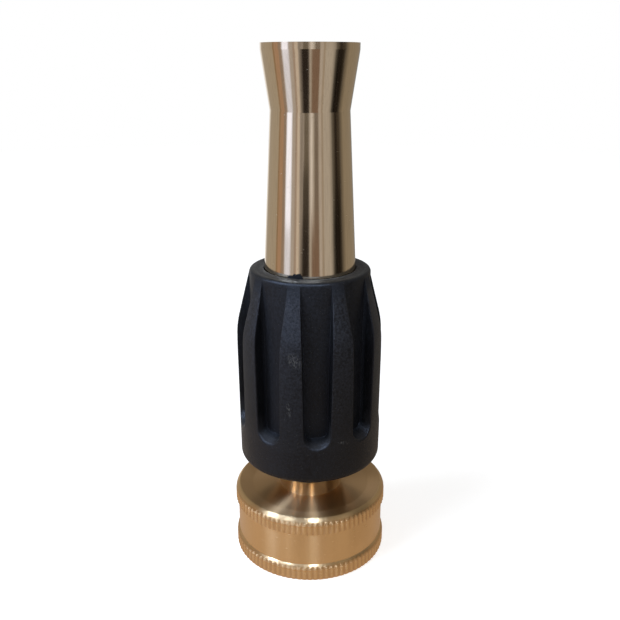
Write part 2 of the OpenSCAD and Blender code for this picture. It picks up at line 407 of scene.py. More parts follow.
def build_stem():
    """The one-piece stem: knurled coupling, neck, male thread, glands, tube and plug."""
    skin = Skin()
    columns = np.arange(KNURL_COLUMNS)
    groove_share = 0.5 - 0.5 * np.cos(TURN * KNURL_TEETH * columns / KNURL_COLUMNS)
    knurl_r = COUPLING_R - KNURL_DEPTH * groove_share
    rings = [skin.ring(circle(np.minimum(r, knurl_r), z, KNURL_COLUMNS)) for r, z in coupling_outline()]
    flat_end_r = RIM_R - 0.4
    slope = (COUPLING_H - DISH_Z) / (flat_end_r - DISH_EDGE_R)
    skin.turn(rounded(
        (flat_end_r - 0.2, COUPLING_H - 0.2 * slope, 0), (DISH_EDGE_R, DISH_Z, 3),
        (NECK_R, DISH_Z, NECK_FILLET), (NECK_R, NECK_TOP_Z - 0.4, 0), (SHAFT_R, NECK_TOP_Z, 0),
        (SHAFT_R, MALE_Z - 0.4, 0), (MALE_ROOT_R, MALE_Z - 0.3, 0)), STEM_COLUMNS)
    skin.thread(MALE_Z, LEAD, MALE_TURNS, MALE_ROOT_R, MALE_RIDGE,
                ridge_profile(0.87, 0.35, 0), STEM_COLUMNS)
    seal_high = gland("shutoff_o_ring")[2]
    cone_r = np.interp(seal_high, [PLUG_CONE_Z, NOSE_CONE_Z], [PLUG_R, NOSE_R])
    skin.turn([
        (LAND_R, MALE_Z + LEAD * (MALE_TURNS + 1) + 0.4), *groove("rear_o_ring", LAND_R, LAND_R),
        *groove("front_o_ring", LAND_R, LAND_R), (LAND_R, LAND_END_Z), (TUBE_R, LAND_END_Z + 2),
        (TUBE_R, PORT_Z - 3), (TUBE_R, PLUG_NECK_Z), (PLUG_R, PLUG_Z),
        *groove("shutoff_o_ring", PLUG_R, cone_r), (NOSE_R, NOSE_CONE_Z), (NOSE_R, NOSE_Z),
        (NOSE_END_R, NOSE_END_Z), (0, NOSE_END_Z)], STEM_COLUMNS)
    skin.last = rings[0]
    skin.turn(rounded(
        (HOSE_MAJOR_R + 0.25, INLET_Z, 0), (HOSE_MAJOR_R, INLET_Z + 0.25, 0),
        (HOSE_MAJOR_R, HOSE_THREAD_Z - SUPPORT, 0)), STEM_COLUMNS)
    skin.thread(HOSE_THREAD_Z, HOSE_PITCH, HOSE_TURNS, HOSE_MAJOR_R, -HOSE_RIDGE,
                ridge_profile(0.9, 0.25, 0.03), STEM_COLUMNS)
    skin.turn(rounded(
        (HOSE_MAJOR_R, SEAT_Z - 0.5, 0), (HOSE_MAJOR_R, SEAT_Z, 0.3), (INLET_CONE_R, SEAT_Z, 0),
        (WATER_IN_R, SEAT_Z + INLET_CONE_H, 0), (WATER_IN_R, WATER_STEP_Z, 0),
        (WATER_R, WATER_STEP_Z + 1, 0), (WATER_R, PORT_Z - 3, 0), (WATER_R, WATER_END_Z, 0),
        (0, WATER_END_Z + 1.2, 0)), STEM_COLUMNS)
    stem = skin.finish("stem_turned")
    cut_ports(stem)
    return stem


def cut_ports(stem):
    """Drills the cross ports through the stem's tube."""
    drill = bmesh.new()
    for i in range(PORTS // 2):
        made = bmesh.ops.create_cone(drill, cap_ends=True, segments=32, radius1=PORT_R * MM,
                                     radius2=PORT_R * MM, depth=2 * (PLUG_R + 1) * MM)
        for angle, axis in ((TURN / 4, "Y"), (TURN / 4 * i, "Z")):
            bmesh.ops.rotate(drill, verts=made["verts"], matrix=Matrix.Rotation(angle, 3, axis))
        bmesh.ops.translate(drill, verts=made["verts"], vec=(0, 0, PORT_Z * MM))
    data = bpy.data.meshes.new("drill")
    drill.to_mesh(data)
    drill.free()
    tool = bpy.data.objects.new("drill", data)
    bpy.context.scene.collection.objects.link(tool)
    cut = stem.modifiers.new("ports", "BOOLEAN")
    cut.object = tool
    cut.solver = "EXACT"
    cut.use_self = True
    shown = stem.evaluated_get(bpy.context.evaluated_depsgraph_get())
    stem.data = bpy.data.meshes.new_from_object(shown)
    stem.modifiers.clear()
    bpy.data.objects.remove(tool)


# ------------------------------------------------------------ barrel

def build_barrel():
    """The barrel: flange, taper, flared outlet, and inside it the thread, bore, throat and bell."""
    skin = Skin()
    outside = rounded(
        (MOUTH_R + 0.2, BARREL_Z, 0), (FLANGE_R, BARREL_Z, 0.35), (FLANGE_R, GRIP_Z - 0.02, 0.12),
        (BARREL_R, GRIP_Z - 0.02, 0), (BARREL_R, GRIP_TOP_Z, 4), (WAIST_R, WAIST_Z, 0.6),
        (LIP_R, LIP_Z - LIP_H, 0.4), (LIP_R, LIP_Z, 0), (BELL_R, LIP_Z, 0.2),
        (THROAT_R, THROAT_TOP_Z, 0))
    rings = [skin.ring(circle(r, z, BARREL_COLUMNS)) for r, z in outside]
    lip = rings[-2]
    bmesh.ops.delete(skin.mesh, geom=rings[-1], context="VERTS")
    skin.last = rings[0]
    skin.turn([
        (MOUTH_R, BARREL_Z + 0.2), (MOUTH_R, GROOVE_Z), (GROOVE_R, GROOVE_Z), (GROOVE_R, RING_TOP_Z + 0.05),
        (FEMALE_ROOT_R, RING_TOP_Z + 0.05), (FEMALE_ROOT_R, FEMALE_Z - SUPPORT)], BARREL_COLUMNS)
    skin.thread(FEMALE_Z, LEAD, FEMALE_TURNS, FEMALE_ROOT_R, FEMALE_RIDGE,
                ridge_profile(0.66, 0.14, 0), BARREL_COLUMNS)
    skin.turn(rounded(
        (FEMALE_ROOT_R, FEMALE_END_Z, 0), (BORE_R, FEMALE_END_Z + 1, 0), (BORE_R, CONE_Z, 0),
        (THROAT_R, THROAT_Z, 0), (THROAT_R, THROAT_TOP_Z, 0.5), (BELL_R, LIP_Z, 0))[:-1], BARREL_COLUMNS)
    skin.join(skin.last, lip)
    return skin.finish("barrel_turned")


# ------------------------------------------------------------ grip sleeve

RIB_LINE = rounded((GRIP_LOW_R, GRIP_Z, 0), (GRIP_R, CROWN_LOW_Z, 60),
                   (GRIP_R - 0.05, CROWN_TOP_Z, CROWN_ROUND), (GRIP_BROW_R, GRIP_TOP_Z, 0), steps=12)
BRIM_LINE = rounded((GRIP_R - 0.05, CROWN_TOP_Z, 0), (GRIP_BROW_R, GRIP_TOP_Z, GRIP_ROUND_TOP),
                    (GRIP_MOUTH_R, GRIP_TOP_Z, 0.08), (GRIP_MOUTH_R, GRIP_MOUTH_Z, 0))
BRIM_ARC = BRIM_LINE[1:9]
MOUTH_ARC = BRIM_LINE[9:-1]


def rib_r(z):
    """The sleeve's radius over its ribs at a height."""
    return float(np.interp(z, [p[1] for p in RIB_LINE], [p[0] for p in RIB_LINE]))


def flute_section(height, lean, edge):
    """Half of a flute's section as (distance in from the mouth, height over the floor), floor first."""
    wall = max(height, LEAST_WALL)
    fillet = min(FLUTE_FILLET, 0.55 * wall)
    edge = min(edge, 0.3 * wall)
    angle = math.atan(lean)
    foot = lean * (wall - fillet) + fillet / math.cos(angle)
    shoulder = lean * edge - edge / math.cos(angle)
    points = []
    for turn in np.linspace(1.5 * math.pi, math.pi + angle, 7):
        points.append((foot + fillet * math.cos(turn), fillet + fillet * math.sin(turn)))
    for turn in np.linspace(angle, math.pi / 2, 5):
        points.append((shoulder + edge * math.cos(turn), wall - edge + edge * math.sin(turn)))
    return [(inward, up * height / wall) for inward, up in points]


def flute_row(base_z, across, down):
    """One row of a flute's patch as (radius, angle, z), from its middle line out to the sector's edge.

    The row starts at height base_z and runs in the direction (across, down) on the unrolled sleeve.
    """
    narrowing = FLUTE_NARROWING * max(0, FLUTE_PARALLEL_Z - base_z) / (FLUTE_PARALLEL_Z - FLUTE_END_Z)
    half = FLUTE_HALF - narrowing
    mouth_r = rib_r(base_z + half * down)
    floor_r = min(FLUTE_FLOOR_R, mouth_r)
    lean = FLUTE_SIDE_LEAN + (FLUTE_END_LEAN - FLUTE_SIDE_LEAN) * down ** 2
    section = flute_section(mouth_r - floor_r, lean, FLUTE_EDGE * (1 + 1.2 * down ** 2))
    floor_out = half - section[0][0] - SUPPORT
    places = [(floor_out * share, 0) for share in (0, 0.4, 0.8, 1)]
    places += [(half - inward, up) for inward, up in section]
    row = []
    for out, up in places:
        r = floor_r + up
        row.append((r, math.asin(out * across / r), base_z + out * down))
    rib_out = half - section[-1][0] + SUPPORT
    start = np.array([math.asin(rib_out * across / mouth_r), base_z + rib_out * down])
    square = max(abs(across), abs(down))
    end = np.array([across / square * SECTOR / 2, base_z + down / square * GRIP_R * SECTOR / 2])
    for share in np.linspace(0, 1, RIB_STEPS):
        angle, z = start + (end - start) * share
        row.append((rib_r(z), angle, z))
    return row


def flute_rows():
    """All rows of one flute's patch: down its left side, round its lower end and up its right side."""
    top_z = BRIM_ARC[0][1]
    crown_z = CROWN_TOP_Z - 2
    levels = [*np.linspace(top_z, crown_z, 26), *np.linspace(crown_z, FLUTE_END_Z, 12)[1:]]
    rows = [flute_row(z, -1, 0) for z in levels]
    for i in range(1, END_STEPS):
        angle = math.pi * (1 + i / END_STEPS)
        rows.append(flute_row(FLUTE_END_Z, math.cos(angle), math.sin(angle)))
    return rows + [flute_row(z, 1, 0) for z in reversed(levels)]


def all_round(angles):
    """Angles within one sector, repeated for every sector."""
    return [FLUTE_PHASE + i * SECTOR + angle for i in range(FLUTES) for angle in angles]


def build_grip():
    """The moulded grip sleeve with its flutes."""
    skin = Skin()
    rows = flute_rows()
    for i in range(FLUTES):
        phase = FLUTE_PHASE + i * SECTOR
        skin.grid([[polar(r, phase + angle, z) for r, angle, z in row] for row in rows])
    quarter = END_STEPS // 4
    end_rows = rows[len(rows) // 2 - quarter:len(rows) // 2 + quarter]
    low_angles = all_round([row[-1][1] for row in end_rows])
    collar_z = end_rows[0][-1][2]
    left = [angle for _, angle, _ in reversed(rows[0])]
    right = [angle for _, angle, _ in rows[-1]]
    top_angles = all_round(left + right[1:-1])
    outline = rounded(
        (rib_r(collar_z), collar_z, 0), (rib_r(collar_z - 1.5), collar_z - 1.5, 0),
        (GRIP_LOW_R, GRIP_Z, GRIP_ROUND_LOW), (GRIP_BORE_R, GRIP_Z, 0.15),
        (GRIP_BORE_R, GRIP_MOUTH_Z - 0.5, 0), (GRIP_MOUTH_R, GRIP_MOUTH_Z, 0), steps=8)
    skin.turn_at(outline + MOUTH_ARC[::-1], low_angles)
    skin.turn_at(BRIM_ARC[::-1], top_angles)
    return skin.finish("grip_moulded")


# ------------------------------------------------------------ small parts

def build_washer():
    """The hose washer, with rounded edges and a raised sealing bead on each face."""
    hole_r = 8.0
    bead_r = (hole_r + WASHER_R) / 2
    low = [(WASHER_R, WASHER_Z, 0.5), (bead_r + 1, WASHER_Z, 0), (bead_r + 0.8, WASHER_Z + 0.25, 0),
           (bead_r - 0.8, WASHER_Z + 0.25, 0), (bead_r - 1, WASHER_Z, 0), (hole_r, WASHER_Z, 0.3)]
    high = [(r, WASHER_Z + WASHER_TOP_Z - z, rounding) for r, z, rounding in reversed(low)]
    middle = (WASHER_Z + WASHER_TOP_Z) / 2
    skin = Skin()
    outline = rounded((WASHER_R, middle, 0), *low, *high, (WASHER_R, middle, 0))[:-1]
    first = skin.ring(circle(*outline[0], STEM_COLUMNS))
    skin.turn(outline[1:], STEM_COLUMNS)
    skin.join(skin.last, first)
    return skin.finish("hose_washer_moulded")


def build_o_ring(node):
    """A sealing ring with its round section."""
    outer, low, high = reach(node)
    cord_r = (high - low) / 2
    steps = 16
    middle = complex(outer - cord_r, low + cord_r)
    places = [middle + cmath.rect(cord_r, TURN * i / steps) for i in range(steps)]
    section = [(place.real, place.imag) for place in places]
    skin = Skin()
    first = skin.ring(circle(*section[0], RING_COLUMNS))
    skin.turn(section[1:], RING_COLUMNS)
    skin.join(skin.last, first)
    return skin.finish(node + "_moulded")


def build_retaining_ring():
    """The split ring that rides in the groove of the barrel's mouth."""
    inner_r = SHAFT_R + 0.06
    bead_z = RING_TOP_Z - RING_BEAD_H
    section = rounded(
        (inner_r, RING_Z + 0.3, 0), (inner_r + 0.25, RING_Z, 0), (RING_LIP_R, RING_Z, 0.12),
        (RING_LIP_R, RING_Z + 0.8, 0), (RING_BODY_R, BARREL_Z, 0), (RING_BODY_R, bead_z, 0),
        (RING_R, bead_z + 0.2, 0.05), (RING_R, RING_TOP_Z - 0.5, 0.1), (RING_BODY_R, RING_TOP_Z, 0.1),
        (inner_r, RING_TOP_Z, 0))
    gap = math.asin(RING_SPLIT / 2 / RING_BODY_R)
    skin = Skin()
    for angle in np.linspace(gap, TURN - gap, RING_COLUMNS):
        skin.ring([polar(r, angle, z) for r, z in section])
    for end in (skin.mesh.verts[:len(section)], skin.last):
        skin.mesh.faces.new(end)
    return skin.finish("retaining_ring_moulded")


def build_flake():
    """A torn flake of rubber at the sleeve's mouth, standing up against the barrel."""
    steps = 28
    inner = BARREL_R + 0.05
    outer = GRIP_MOUTH_R + 0.1
    foot_z = GRIP_TOP_Z - 0.7
    heights = np.interp(np.arange(steps + 1) / steps, [0, 0.12, 0.3, 0.36, 0.6, 0.75, 0.9, 1],
                        [0.3, 0.55, 0.5, 0.9, 0.8, 1.0, 0.75, 0.1])
    ragged = [0, 0.4, 1, 0.7, 0.3, -0.2, 0.3, 0.9, 0.5, -0.4, -0.9, 0.1, 0.6, 0.2, -0.3]
    skin = Skin()
    for i, height in enumerate(heights):
        angle = math.radians(FLAKE_START + FLAKE_WIDTH * i / steps)
        top = GRIP_TOP_Z + height * (1 + 0.14 * ragged[i % len(ragged)]) - 0.05
        section = [(outer, foot_z), (outer, GRIP_TOP_Z - 0.12), (inner + 0.16, top - 0.06),
                   (inner + 0.08, top), (inner, top - 0.06), (inner, foot_z)]
        skin.ring([polar(r, angle, z) for r, z in section])
    for end in (skin.mesh.verts[:len(section)], skin.last):
        skin.mesh.faces.new(end)
    return skin.finish("grip_flake")


# ------------------------------------------------------------ materials

class Paint:
    """A Principled material and the nodes that feed it."""

    def __init__(self, name, **sockets):
        self.material = bpy.data.materials.new(name)
        self.material.use_nodes = True
        self.tree = self.material.node_tree
        self.shader = self.tree.nodes["Principled BSDF"]
        self.place = self.tree.nodes.new("ShaderNodeTexCoord").outputs["Object"]
        for socket, value in sockets.items():
            self.shader.inputs[socket.replace("_", " ")].default_value = value

    def node(self, kind, inputs=(), **settings):
        """The first output of a new node. inputs maps its sockets to values or to other sockets."""
        made = self.tree.nodes.new(kind)
        for name, value in settings.items():
            setattr(made, name, value)
        for socket, value in dict(inputs).items():
            if isinstance(value, bpy.types.NodeSocket):
                self.tree.links.new(value, made.inputs[socket])
            else:
                made.inputs[socket].default_value = value
        return made.outputs[0]

    def feed(self, socket, value):
        self.tree.links.new(value, self.shader.inputs[socket])

    def noise(self, size_mm, stretch=(1, 1, 1), detail=4.0, roughness=0.55, shift=0.0):
        """Noise whose lumps are about size_mm across, times stretch along each axis."""
        scale = [1 / (size_mm * MM * s) for s in stretch]
        place = self.node("ShaderNodeMapping",
                          {"Vector": self.place, "Scale": scale, "Location": [shift] * 3})
        return self.node("ShaderNodeTexNoise", {"Vector": place, "Scale": 1.0, "Detail": detail,
                                                "Roughness": roughness})

    def spread(self, value, low, high, to_low, to_high):
        """value between low and high, as a number between to_low and to_high."""
        return self.node("ShaderNodeMapRange", {"Value": value, "From Min": low, "From Max": high,
                                                "To Min": to_low, "To Max": to_high})

    def math(self, operation, a, b):
        return self.node("ShaderNodeMath", {0: a, 1: b}, operation=operation)

    def vector(self, operation, *inputs):
        return self.node("ShaderNodeVectorMath", enumerate(inputs), operation=operation)

    def tint(self, share, a, b):
        """Colour a, going to colour b as share goes to 1."""
        made = self.tree.nodes.new("ShaderNodeMix")
        made.data_type = "RGBA"
        self.tree.links.new(share, made.inputs["Factor"])
        for index, colour in ((6, a), (7, b)):
            if isinstance(colour, bpy.types.NodeSocket):
                self.tree.links.new(colour, made.inputs[index])
            else:
                made.inputs[index].default_value = (*colour, 1)
        return made.outputs[2]

    def bump(self, height, depth_mm, strength=1.0, below=None):
        """The normal of a relief depth_mm deep, on top of the normal below it."""
        inputs = {"Height": height, "Distance": depth_mm * MM, "Strength": strength}
        if below:
            inputs["Normal"] = below
        return self.node("ShaderNodeBump", inputs)

    def near(self, centre, radii, lean):
        """1 at a centre, fading to 0 over an ellipsoid with the given radii in millimetres.

        lean turns the ellipsoid about Y, in degrees.
        """
        away = self.vector("SUBTRACT", self.place, Vector(centre) * MM)
        turned = self.node("ShaderNodeVectorRotate", {"Vector": away, "Angle": math.radians(lean)},
                           rotation_type="Y_AXIS")
        share = self.vector("DIVIDE", turned, Vector(radii) * MM)
        length = self.vector("LENGTH", share).node.outputs["Value"]
        return self.spread(length, 0.5, 1.0, 1.0, 0.0)

    def through(self, distance, stops, furthest):
        """A value that goes through stops of (distance in millimetres, value), none beyond furthest."""
        share = self.math("DIVIDE", distance, furthest * MM)
        ramp = self.node("ShaderNodeValToRGB", {"Fac": share}).node
        marks = ramp.color_ramp.elements
        while len(marks) < len(stops):
            marks.new(0.5)
        for mark, (stop, value) in zip(marks, stops):
            mark.position = stop / furthest
            mark.color = (value, value, value, 1)
        return ramp.outputs[0]

    def by_radius(self, stops):
        """A value that goes through stops of (distance from the axis, value)."""
        split = self.node("ShaderNodeSeparateXYZ", {"Vector": self.place}).node
        x, y = split.outputs[0], split.outputs[1]
        square = self.math("ADD", self.math("MULTIPLY", x, x), self.math("MULTIPLY", y, y))
        return self.through(self.math("SQRT", square, 0.0), stops, COUPLING_R)

    def outward(self):
        """How squarely the surface faces away from the axis: 1 squarely, 0 sideways or along Z."""
        out = self.vector("NORMALIZE", self.vector("MULTIPLY", self.place, (1, 1, 0)))
        facing = self.place.node.outputs["Normal"]
        return self.vector("DOT_PRODUCT", out, facing).node.outputs["Value"]

    def by_height(self, stops):
        """A value that goes through stops of (z, value)."""
        z = self.node("ShaderNodeSeparateXYZ", {"Vector": self.place}).node.outputs[2]
        return self.through(z, stops, max(stop for stop, value in stops))


def brass(name, colour, stain, roughness, streaks=0.35, grain=0.5, dull=(), dirt=(), dents=()):
    """Turned brass: faint rings from the tool, faint stains, and small ticks and specks of wear.

    streaks is the depth of the darker lines along Z, and grain how much further its gloss spreads along
    Z than round it. dull and dirt list stops of (distance from the axis, value), for the extra roughness
    and the share of tarnish. dents lists stops of (z, value), for where the rim is etched and knocked.
    """
    paint = Paint(name, Metallic=1.0, Anisotropic=grain, Anisotropic_Rotation=0.25)
    paint.feed("Tangent", paint.node("ShaderNodeTangent", direction_type="RADIAL", axis="Z"))
    rings = paint.noise(0.12, (300, 300, 1), detail=3)
    broad = paint.noise(6, (1, 1, 2), detail=4, roughness=0.6)
    fine = paint.noise(0.25, detail=2, shift=3.0)
    ticks = paint.spread(paint.noise(0.16, (7, 7, 1), detail=1, shift=4.0), 0.76, 0.80, 0, 1)
    specks = paint.spread(paint.noise(0.35, detail=1, shift=7.0), 0.76, 0.80, 0, 1)
    base = paint.tint(paint.spread(broad, 0.4, 0.75, 0, 0.5), colour, stain)
    lines = paint.noise(0.22, (1, 1, 400), detail=2, shift=9.0)
    base = paint.tint(paint.spread(lines, 0.45, 0.7, 0, streaks), base, [0.7 * level for level in colour])
    base = paint.tint(paint.math("MULTIPLY", specks, 0.5), base, (0.16, 0.11, 0.06))
    if dirt:
        base = paint.tint(paint.by_radius(dirt), base, (0.50, 0.27, 0.11))
    paint.feed("Base Color", base)
    rough = paint.math("ADD", paint.spread(broad, 0.4, 0.8, roughness, roughness + 0.05),
                       paint.spread(fine, 0.4, 0.8, 0.0, 0.02))
    rough = paint.math("ADD", rough, paint.math("MULTIPLY", ticks, 0.25))
    if dull:
        rough = paint.math("ADD", rough, paint.by_radius(dull))
    normal = paint.bump(ticks, 0.003, 0.4, below=paint.bump(rings, 0.0006))
    if dents:
        rim = paint.by_radius([(RIM_R - 0.3, 0.0), (RIM_R, 1.0)])
        etched = paint.math("MULTIPLY", rim, paint.by_height(dents))
        rough = paint.math("ADD", rough, paint.math("MULTIPLY", etched, 0.13))
        knocks = paint.math("MULTIPLY", etched, paint.noise(0.3, detail=2, roughness=0.6, shift=6.0))
        normal = paint.bump(knocks, 0.022, below=normal)
    paint.feed("Roughness", rough)
    paint.feed("Normal", normal)
    return paint.material


def stem_brass():
    """The stem's brass, duller in the dish and on the neck, where polishing does not reach."""
    dull = [(NECK_R + 0.05, 0.16), (NECK_R + 0.4, 0.10), (DISH_EDGE_R - 0.6, 0.09), (DISH_EDGE_R, 0.14),
            (RIM_R - 0.3, 0.14), (RIM_R, 0.0)]
    dirt = [(NECK_R, 0.5), (NECK_R + 1, 0.65), (DISH_EDGE_R, 0.55), (RIM_R - 0.2, 0.5), (RIM_R, 0.0),
            (COUPLING_R - 0.26, 0.0), (COUPLING_R - 0.19, 0.4), (COUPLING_R - 0.04, 0.0)]
    dents = [(KNURL_LOW_H - 1.6, 0.0), (KNURL_LOW_H - 1.2, 1.0), (KNURL_LOW_H - 0.5, 1.0),
             (KNURL_LOW_H - 0.3, 0.0), (COUPLING_H - 1.7, 0.0), (COUPLING_H - 1.2, 1.0), (COUPLING_H, 1.0)]
    return brass("stem_brass", (0.87, 0.60, 0.30), (0.82, 0.55, 0.26), 0.215,
                 streaks=0.1, grain=1.0, dull=dull, dirt=dirt, dents=dents)


def barrel_brass():
    return brass("barrel_brass", (0.80, 0.655, 0.46), (0.76, 0.615, 0.42), 0.09)


def rubber(name, colour, dust, grain_mm):
    """Moulded rubber with a fine grain and a few pale specks."""
    paint = Paint(name, Specular_IOR_Level=0.3)
    grain = paint.noise(grain_mm, detail=3, roughness=0.6)
    specks = paint.spread(paint.noise(0.22, detail=1, shift=2.0), 0.74, 0.80, 0, dust)
    paint.feed("Base Color", paint.tint(specks, colour, (0.16, 0.16, 0.155)))
    paint.feed("Roughness", paint.spread(grain, 0.3, 0.7, 0.44, 0.52))
    paint.feed("Normal", paint.bump(grain, 0.02))
    return paint.material


def dust_and_painted_light(paint, base, mottle):
    """A grip's base colour, with dust and painted sheen on the ribs, painted light in the flutes' lower
    ends, and dust and a painted reflection of the brass round the mouth.
    """
    # Painted sheen and dust: the ribs' outward faces go a lighter blue-grey, most towards the top, for the
    # window light falling on them from above and the left, with some dust and wear; the flutes between keep
    # the darker base as painted shade.
    ribs = paint.by_radius([(FLUTE_FLOOR_R + 0.1, 0.35), (FLUTE_FLOOR_R + 0.9, 1.0)])
    ribs = paint.math("MULTIPLY", ribs, paint.spread(paint.outward(), 0.6, 0.85, 0, 1))
    painted_sheen_towards_top = paint.by_height([(0, 0.2), (32, 0.25), (56, 1.0), (GRIP_TOP_Z, 1.0)])
    ribs = paint.math("MULTIPLY", ribs, painted_sheen_towards_top)
    ribs = paint.math("MULTIPLY", ribs, paint.spread(mottle, 0.38, 0.62, 0.1, 1.0))
    base = paint.tint(ribs, base, (0.042, 0.045, 0.058))
    # Painted light: the lower ends of the flutes, which face up, are painted a lighter grey where light
    # falls into them.
    lit_flute_ends = paint.by_radius([(FLUTE_FLOOR_R + 0.45, 0.0), (FLUTE_FLOOR_R + 1.55, 1.0),
                             (FLUTE_FLOOR_R + 2.35, 1.0), (FLUTE_FLOOR_R + 2.65, 0.0)])
    low = paint.by_height([(FLUTE_END_Z - 4, 0.0), (FLUTE_END_Z - 2.6, 1.0), (FLUTE_END_Z + 1, 0.6),
                           (FLUTE_END_Z + 3, 0.0)])
    base = paint.tint(paint.math("MULTIPLY", lit_flute_ends, low), base, (0.034, 0.034, 0.038))
    # Dust and painted reflection: round the mouth, a warm pale grey stands partly for dust and partly for
    # the brass barrel reflected in the rubber.
    rim = paint.by_radius([(GRIP_MOUTH_R - 0.04, 0.0), (GRIP_MOUTH_R + 0.06, 1.0),
                           (GRIP_MOUTH_R + 1.3, 0.4), (GRIP_BROW_R - 0.4, 0.35), (GRIP_BROW_R, 0.0)])
    rim = paint.math("MULTIPLY", rim, paint.spread(mottle, 0.4, 0.6, 0.2, 1))
    return paint.tint(rim, base, (0.13, 0.12, 0.105))


def scuffed(paint, base):
    """A grip's base colour, with its scuffs."""
    scuffs = paint.near(*SCUFFS[0])
    for scuff in SCUFFS[1:]:
        scuffs = paint.math("MAXIMUM", scuffs, paint.near(*scuff))
    scratches = paint.spread(paint.noise(0.2, (1, 1, 2.5), detail=3, shift=8.0), 0.48, 0.6, 0, 0.8)
    return paint.tint(paint.math("MULTIPLY", scuffs, scratches), base, (0.14, 0.14, 0.14))


def grip_rubber():
    """The grip's rubber: dull patches, dust, painted sheen and painted light, scuffs and specks, and a
    duller mouth and flute corners.
    """
    paint = Paint("grip_rubber", Specular_IOR_Level=0.3)
    grain = paint.noise(0.16, detail=3, roughness=0.6)
    patches = paint.noise(5, (1, 1, 1.6), detail=5, roughness=0.62)
    mottle = paint.noise(0.45, detail=4, roughness=0.75, shift=5.0)
    specks = paint.spread(paint.noise(0.2, detail=1, shift=2.0), 0.71, 0.76, 0, 0.6)
    base = paint.tint(paint.spread(patches, 0.4, 0.75, 0, 1),
                      (0.0022, 0.0023, 0.003), (0.005, 0.0055, 0.007))
    base = scuffed(paint, dust_and_painted_light(paint, base, mottle))
    paint.feed("Base Color", paint.tint(specks, base, (0.14, 0.13, 0.12)))
    rough = paint.math("ADD", paint.spread(patches, 0.35, 0.75, 0.40, 0.50),
                       paint.spread(mottle, 0.38, 0.62, -0.06, 0.08))
    duller = paint.by_radius([(GRIP_MOUTH_R, 0.35), (GRIP_MOUTH_R + 1.8, 0.0), (FLUTE_FLOOR_R, 0.0),
                              (FLUTE_FLOOR_R + 0.06, 0.25), (FLUTE_FLOOR_R + 0.5, 0.2),
                              (FLUTE_FLOOR_R + 0.7, 0.0)])
    paint.feed("Roughness", paint.math("ADD", rough, duller))
    paint.feed("Normal", paint.bump(mottle, 0.07, 0.8, below=paint.bump(grain, 0.035)))
    return paint.material


def nylon():
    """Black nylon with turning marks."""
    paint = Paint("ring_nylon", Specular_IOR_Level=0.4)
    grain = paint.noise(0.3, (8, 8, 1), detail=3)
    marks = paint.spread(grain, 0.3, 0.7, 0, 1)
    paint.feed("Base Color", paint.tint(marks, (0.02, 0.019, 0.018), (0.035, 0.033, 0.03)))
    paint.feed("Roughness", paint.spread(grain, 0.3, 0.7, 0.42, 0.55))
    paint.feed("Normal", paint.bump(grain, 0.01))
    return paint.material


# ------------------------------------------------------------ stage

def glowing(name, colour, strength, cover=False):
    """Plain light. With cover, it fades away where the mesh's cover goes to 0."""
    material = bpy.data.materials.new(name)
    material.use_nodes = True
    tree = material.node_tree
    tree.nodes.clear()
    light = tree.nodes.new("ShaderNodeEmission")
    light.inputs["Color"].default_value = (*colour, 1)
    light.inputs["Strength"].default_value = strength
    out = tree.nodes.new("ShaderNodeOutputMaterial")
    if cover:
        share = tree.nodes.new("ShaderNodeAttribute")
        share.attribute_name = "cover"
        clear = tree.nodes.new("ShaderNodeBsdfTransparent")
        mix = tree.nodes.new("ShaderNodeMixShader")
        tree.links.new(share.outputs["Fac"], mix.inputs[0])
        tree.links.new(clear.outputs[0], mix.inputs[1])
        tree.links.new(light.outputs[0], mix.inputs[2])
        tree.links.new(mix.outputs[0], out.inputs["Surface"])
    else:
        tree.links.new(light.outputs[0], out.inputs["Surface"])
    return material


def stage_object(name, verts, faces, material, seen_by):
    """A piece of the studio, seen only by the named kinds of ray."""
    data = bpy.data.meshes.new(name)
    data.from_pydata(verts, [], faces)
    data.materials.append(material)
    made = bpy.data.objects.new(name, data)
    bpy.context.scene.collection.objects.link(made)
    for kind in ("camera", "diffuse", "glossy", "transmission", "volume_scatter", "shadow"):
        setattr(made, "visible_" + kind, kind in seen_by)
    return made


def disc(name, radius, z, material, seen_by):
    points = [(*p[:2], z) for p in circle(radius, 0, 96)]
    return stage_object(name, points, [tuple(range(96))], material, seen_by)


def dome(name, radius, material, seen_by):
    """A sphere round the whole set, seen from inside."""
    mesh = bmesh.new()
    bmesh.ops.create_icosphere(mesh, subdivisions=4, radius=radius)
    verts = [tuple(v.co) for v in mesh.verts]
    faces = [tuple(v.index for v in reversed(f.verts)) for f in mesh.faces]
    mesh.free()
    return stage_object(name, verts, faces, material, seen_by)


class Room:
    """Curved cards round the nozzle, each a little nearer than the one before it."""

    def __init__(self, distance):
        self.distance = distance

    def card(self, name, azimuth, width, colour, strength=1.0, *,
             low=-0.16, high=0.12, soft=1.0, soft_top=0.0):
        """A card that only reflections see.

        Azimuth 0 is on the camera's side and goes up to the right, in degrees. The card's left and right
        edges fade over soft degrees, and its upper edge over soft_top metres.
        """
        self.distance -= 0.003
        half = width / 2
        columns = sorted({-half - soft / 2, half + soft / 2,
                          *np.linspace(-half + soft / 2, half - soft / 2, 2 + int(width / 4))})
        levels = [(low, 1.0), (high - soft_top / 2, 1.0), (high + soft_top / 2, 0.0)]
        levels = levels if soft_top else levels[:2]
        verts = []
        cover = []
        for side in columns:
            angle = math.radians(azimuth + side)
            inside = 1.0 if abs(side) < half else 0.0
            for z, share in levels:
                verts.append((self.distance * math.sin(angle), -self.distance * math.cos(angle), z))
                cover.append(inside * share)
        rows = len(levels)
        faces = [(rows * i + j, rows * i + j + 1, rows * i + rows + j + 1, rows * i + rows + j)
                 for i in range(len(columns) - 1) for j in range(rows - 1)]
        made = stage_object(name, verts, faces, glowing(name, colour, strength, cover=True), ("glossy",))
        layer = made.data.attributes.new("cover", "FLOAT", "POINT")
        for value, share in zip(layer.data, cover):
            value.value = share
        return made


